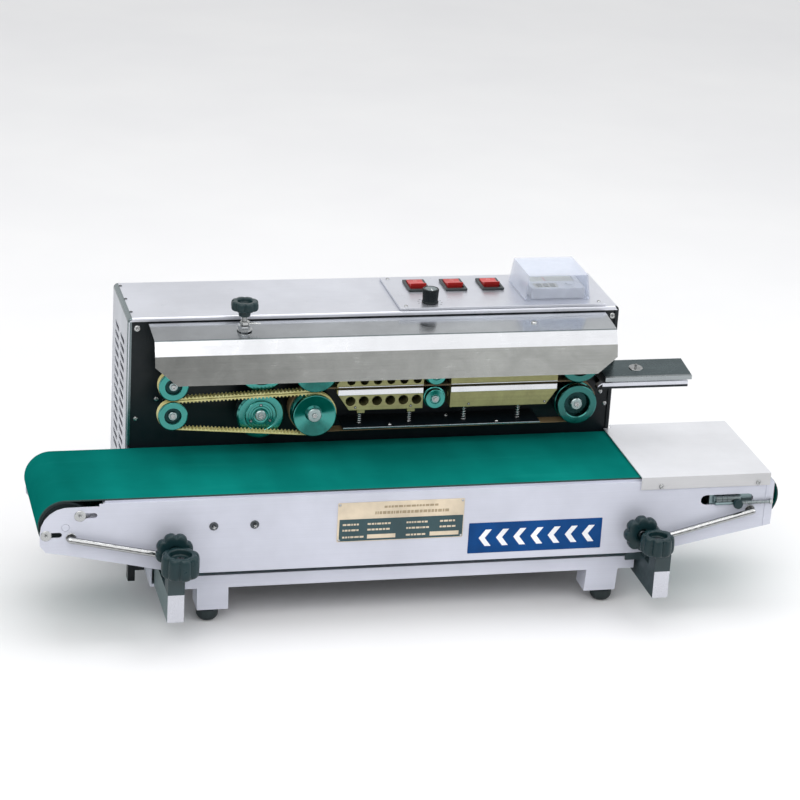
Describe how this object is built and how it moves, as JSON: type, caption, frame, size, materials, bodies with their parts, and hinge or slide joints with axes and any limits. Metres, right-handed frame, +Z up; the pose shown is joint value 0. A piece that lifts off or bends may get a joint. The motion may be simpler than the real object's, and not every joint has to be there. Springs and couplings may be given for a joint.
{
  "type": "continuous band sealer",
  "caption": "Table-top continuous band sealer: steel housing with heated sealing train under a bent guard, over a green flat-belt conveyor with adjustable height and depth.",
  "frame": {"origin": "centre of the machine's footprint on the table, at the height of the feet's undersides", "axes": "+X along the conveyor towards the infeed end, +Y to the back, +Z up"},
  "size_m": [0.8418, 0.3476, 0.3421],
  "materials": {
    "stainless": "satin brushed",
    "polished": "polished",
    "black_paint": "matt",
    "black_plastic": "moulded",
    "rubber": "matt",
    "belt_green": "satin",
    "band_ptfe": "satin",
    "belt_yellow": "matt",
    "brass_block": "satin",
    "rocker_red": "gloss",
    "beige": "satin",
    "aluminium": "satin",
    "board_green": "satin",
    "motor_grey": "painted",
    "spring_steel": "bright",
    "clear_cover": "clear"
  },
  "bodies": {
    "frame": {"base_frame": "stainless", "foot_front_left": "rubber", "foot_front_right": "rubber", "foot_rear_left": "rubber", "foot_rear_right": "rubber", "housing_shell": "stainless", "front_panel": "black_paint", "back_cover": "stainless", "control_plate": "stainless", "switch_bank": "black_plastic", "temp_controller": "beige", "guard": "stainless", "cooling_block_upper": "brass_block", "heating_block_upper": "brass_block", "spring_shelf": "stainless", "cooling_spring_left": "spring_steel", "cooling_spring_right": "spring_steel", "heating_spring_left": "spring_steel", "heating_spring_right": "spring_steel", "seal_belt_lower": "band_ptfe", "seal_belt_upper": "band_ptfe", "guide_belt_lower": "belt_yellow", "guide_belt_upper": "belt_yellow", "infeed_guide_upper": "stainless", "infeed_guide_lower": "stainless", "drive_motor": "motor_grey", "control_board": "board_green"},
    "rocker_left": {"rocker_left": "rocker_red"},
    "rocker_middle": {"rocker_middle": "rocker_red"},
    "rocker_right": {"rocker_right": "rocker_red"},
    "speed_knob": {"speed_knob": "black_plastic"},
    "controller_cover": {"controller_cover": "clear_cover"},
    "pressure_knob": {"pressure_knob": "black_plastic"},
    "pressure_slide": {"pressure_slide": "stainless"},
    "cooling_block_lower": {"cooling_block_lower": "brass_block"},
    "heating_block_lower": {"heating_block_lower": "brass_block"},
    "drive_wheel_lower": {"drive_wheel_lower": "polished"},
    "drive_wheel_upper": {"drive_wheel_upper": "polished"},
    "guide_pulley_lower": {"guide_pulley_lower": "polished"},
    "guide_pulley_upper": {"guide_pulley_upper": "polished"},
    "emboss_wheel_lower": {"emboss_wheel_lower": "polished"},
    "emboss_wheel_upper": {"emboss_wheel_upper": "polished"},
    "press_roller_lower": {"press_roller_lower": "polished"},
    "press_roller_upper": {"press_roller_upper": "polished"},
    "idler_wheel_lower": {"idler_wheel_lower": "polished"},
    "idler_wheel_upper": {"idler_wheel_upper": "polished"},
    "carriage": {"carriage_left": "stainless", "carriage_right": "stainless"},
    "conveyor": {"conveyor_frame": "stainless", "conveyor_belt": "belt_green", "end_cover": "stainless"},
    "brace_left": {"brace_left": "polished"},
    "brace_right": {"brace_right": "polished"},
    "height_knob_left": {"height_knob_left": "black_plastic"},
    "height_knob_right": {"height_knob_right": "black_plastic"},
    "brace_knob_left": {"brace_knob_left": "black_plastic"},
    "brace_knob_right": {"brace_knob_right": "black_plastic"},
    "tension_yoke": {"tension_yoke": "stainless"},
    "tension_roller": {"tension_roller": "aluminium"},
    "drive_roller": {"drive_roller": "aluminium"}
  },
  "joints": [
    {"name": "rocker_left_tilt", "type": "hinge", "parent": "frame", "child": "rocker_left", "pos_m": [0.0364, 0.11435, 0.3126], "axis": [1, 0, 0], "range_deg": [0, 18]},
    {"name": "rocker_middle_tilt", "type": "hinge", "parent": "frame", "child": "rocker_middle", "pos_m": [0.0802, 0.11435, 0.3126], "axis": [1, 0, 0], "range_deg": [0, 18]},
    {"name": "rocker_right_tilt", "type": "hinge", "parent": "frame", "child": "rocker_right", "pos_m": [0.124, 0.11435, 0.3126], "axis": [1, 0, 0], "range_deg": [0, 18]},
    {"name": "speed_knob_turn", "type": "hinge", "parent": "frame", "child": "speed_knob", "pos_m": [0.0396, 0.06035, 0.3221], "axis": [0, 0, 1], "range_deg": [-270, 0]},
    {"name": "controller_cover_lift", "type": "hinge", "parent": "frame", "child": "controller_cover", "pos_m": [0.19, 0.12885, 0.3154], "axis": [1, 0, 0], "range_deg": [-90, 0]},
    {"name": "pressure_knob_turn", "type": "hinge", "parent": "frame", "child": "pressure_knob", "pos_m": [-0.1825, 0.01585, 0.3221], "axis": [0, 0, 1], "range_deg": [-180, 180]},
    {"name": "pressure_slide_move", "type": "slide", "parent": "frame", "child": "pressure_slide", "axis": [0, 0, 1], "range_m": [0, 0.003], "stiffness_N_per_m": 3000},
    {"name": "cooling_block_press", "type": "slide", "parent": "frame", "child": "cooling_block_lower", "axis": [0, 0, -1], "range_m": [0, 0.003], "stiffness_N_per_m": 3000, "deforming": ["cooling_spring_left", "cooling_spring_right"]},
    {"name": "heating_block_press", "type": "slide", "parent": "frame", "child": "heating_block_lower", "axis": [0, 0, -1], "range_m": [0, 0.003], "stiffness_N_per_m": 3000, "deforming": ["heating_spring_left", "heating_spring_right"]},
    {"name": "drive_wheel_lower_spin", "type": "hinge", "parent": "frame", "child": "drive_wheel_lower", "pos_m": [-0.1033, 0.01285, 0.2069], "axis": [0, 1, 0], "continuous": true},
    {"name": "drive_wheel_upper_spin", "type": "hinge", "parent": "frame", "child": "drive_wheel_upper", "pos_m": [-0.1033, 0.01285, 0.2594], "axis": [0, 1, 0], "continuous": true},
    {"name": "guide_pulley_lower_spin", "type": "hinge", "parent": "frame", "child": "guide_pulley_lower", "pos_m": [-0.2625, 0.01285, 0.2108], "axis": [0, 1, 0], "continuous": true},
    {"name": "guide_pulley_upper_spin", "type": "hinge", "parent": "frame", "child": "guide_pulley_upper", "pos_m": [-0.2625, 0.01285, 0.2454], "axis": [0, 1, 0], "continuous": true},
    {"name": "emboss_wheel_lower_spin", "type": "hinge", "parent": "frame", "child": "emboss_wheel_lower", "pos_m": [-0.1615, 0.01285, 0.2029], "axis": [0, 1, 0], "continuous": true},
    {"name": "emboss_wheel_upper_spin", "type": "hinge", "parent": "pressure_slide", "child": "emboss_wheel_upper", "pos_m": [-0.1615, 0.01285, 0.2578], "axis": [0, 1, 0], "continuous": true},
    {"name": "press_roller_lower_spin", "type": "hinge", "parent": "frame", "child": "press_roller_lower", "pos_m": [0.037, 0.01285, 0.2189], "axis": [0, 1, 0], "continuous": true},
    {"name": "press_roller_upper_spin", "type": "hinge", "parent": "frame", "child": "press_roller_upper", "pos_m": [0.037, 0.01285, 0.2474], "axis": [0, 1, 0], "continuous": true},
    {"name": "idler_wheel_lower_spin", "type": "hinge", "parent": "frame", "child": "idler_wheel_lower", "pos_m": [0.204, 0.01285, 0.2078], "axis": [0, 1, 0], "continuous": true},
    {"name": "idler_wheel_upper_spin", "type": "hinge", "parent": "frame", "child": "idler_wheel_upper", "pos_m": [0.204, 0.01285, 0.2585], "axis": [0, 1, 0], "continuous": true},
    {"name": "conveyor_depth", "type": "slide", "parent": "frame", "child": "carriage", "axis": [0, -1, 0], "range_m": [0, 0.03]},
    {"name": "conveyor_height", "type": "slide", "parent": "carriage", "child": "conveyor", "axis": [0, 0, 1], "range_m": [0, 0.012]},
    {"name": "brace_left_swing", "type": "hinge", "parent": "conveyor", "child": "brace_left", "pos_m": [-0.3855, -0.11415, 0.1158], "axis": [0, 1, 0], "range_deg": [-1, 8]},
    {"name": "brace_right_swing", "type": "hinge", "parent": "conveyor", "child": "brace_right", "pos_m": [0.386, -0.11415, 0.1147], "axis": [0, 1, 0], "range_deg": [-8, 1]},
    {"name": "height_knob_left_turn", "type": "hinge", "parent": "conveyor", "child": "height_knob_left", "pos_m": [-0.2768, -0.12715, 0.1035], "axis": [0, 1, 0], "range_deg": [-180, 180]},
    {"name": "height_knob_right_turn", "type": "hinge", "parent": "conveyor", "child": "height_knob_right", "pos_m": [0.2521, -0.12715, 0.0999], "axis": [0, 1, 0], "range_deg": [-180, 180]},
    {"name": "brace_knob_left_turn", "type": "hinge", "parent": "carriage", "child": "brace_knob_left", "pos_m": [-0.2742, -0.15415, 0.0971], "axis": [0, 0, 1], "range_deg": [-180, 180]},
    {"name": "brace_knob_right_turn", "type": "hinge", "parent": "carriage", "child": "brace_knob_right", "pos_m": [0.2616, -0.15415, 0.0971], "axis": [0, 0, 1], "range_deg": [-180, 180]},
    {"name": "belt_tension", "type": "slide", "parent": "conveyor", "child": "tension_yoke", "axis": [1, 0, 0], "range_m": [-0.01, 0]},
    {"name": "tension_roller_spin", "type": "hinge", "parent": "tension_yoke", "child": "tension_roller", "pos_m": [0.3915, -0.03315, 0.1276], "axis": [0, 1, 0], "continuous": true},
    {"name": "drive_roller_spin", "type": "hinge", "parent": "conveyor", "child": "drive_roller", "pos_m": [-0.3915, -0.03315, 0.1276], "axis": [0, 1, 0], "continuous": true}
  ],
  "couplings": [
    {"joint": "drive_wheel_upper_spin", "follows": "drive_wheel_lower_spin", "ratio": -1},
    {"joint": "guide_pulley_lower_spin", "follows": "drive_wheel_lower_spin", "ratio": 1.5511},
    {"joint": "guide_pulley_upper_spin", "follows": "drive_wheel_lower_spin", "ratio": -1.5511},
    {"joint": "emboss_wheel_lower_spin", "follows": "drive_wheel_lower_spin", "ratio": 0.9537},
    {"joint": "emboss_wheel_upper_spin", "follows": "drive_wheel_lower_spin", "ratio": -0.9537},
    {"joint": "press_roller_lower_spin", "follows": "drive_wheel_lower_spin", "ratio": 1.9004},
    {"joint": "press_roller_upper_spin", "follows": "drive_wheel_lower_spin", "ratio": -1.9004},
    {"joint": "idler_wheel_lower_spin", "follows": "drive_wheel_lower_spin", "ratio": 1.0362},
    {"joint": "idler_wheel_upper_spin", "follows": "drive_wheel_lower_spin", "ratio": -1.0362},
    {"joint": "brace_left_swing", "follows": "conveyor_height", "rad_per_m": 8.6},
    {"joint": "brace_right_swing", "follows": "conveyor_height", "rad_per_m": -7.75},
    {"joint": "tension_roller_spin", "follows": "drive_wheel_lower_spin", "ratio": 0.8988},
    {"joint": "drive_roller_spin", "follows": "drive_wheel_lower_spin", "ratio": 0.8988}
  ]
}
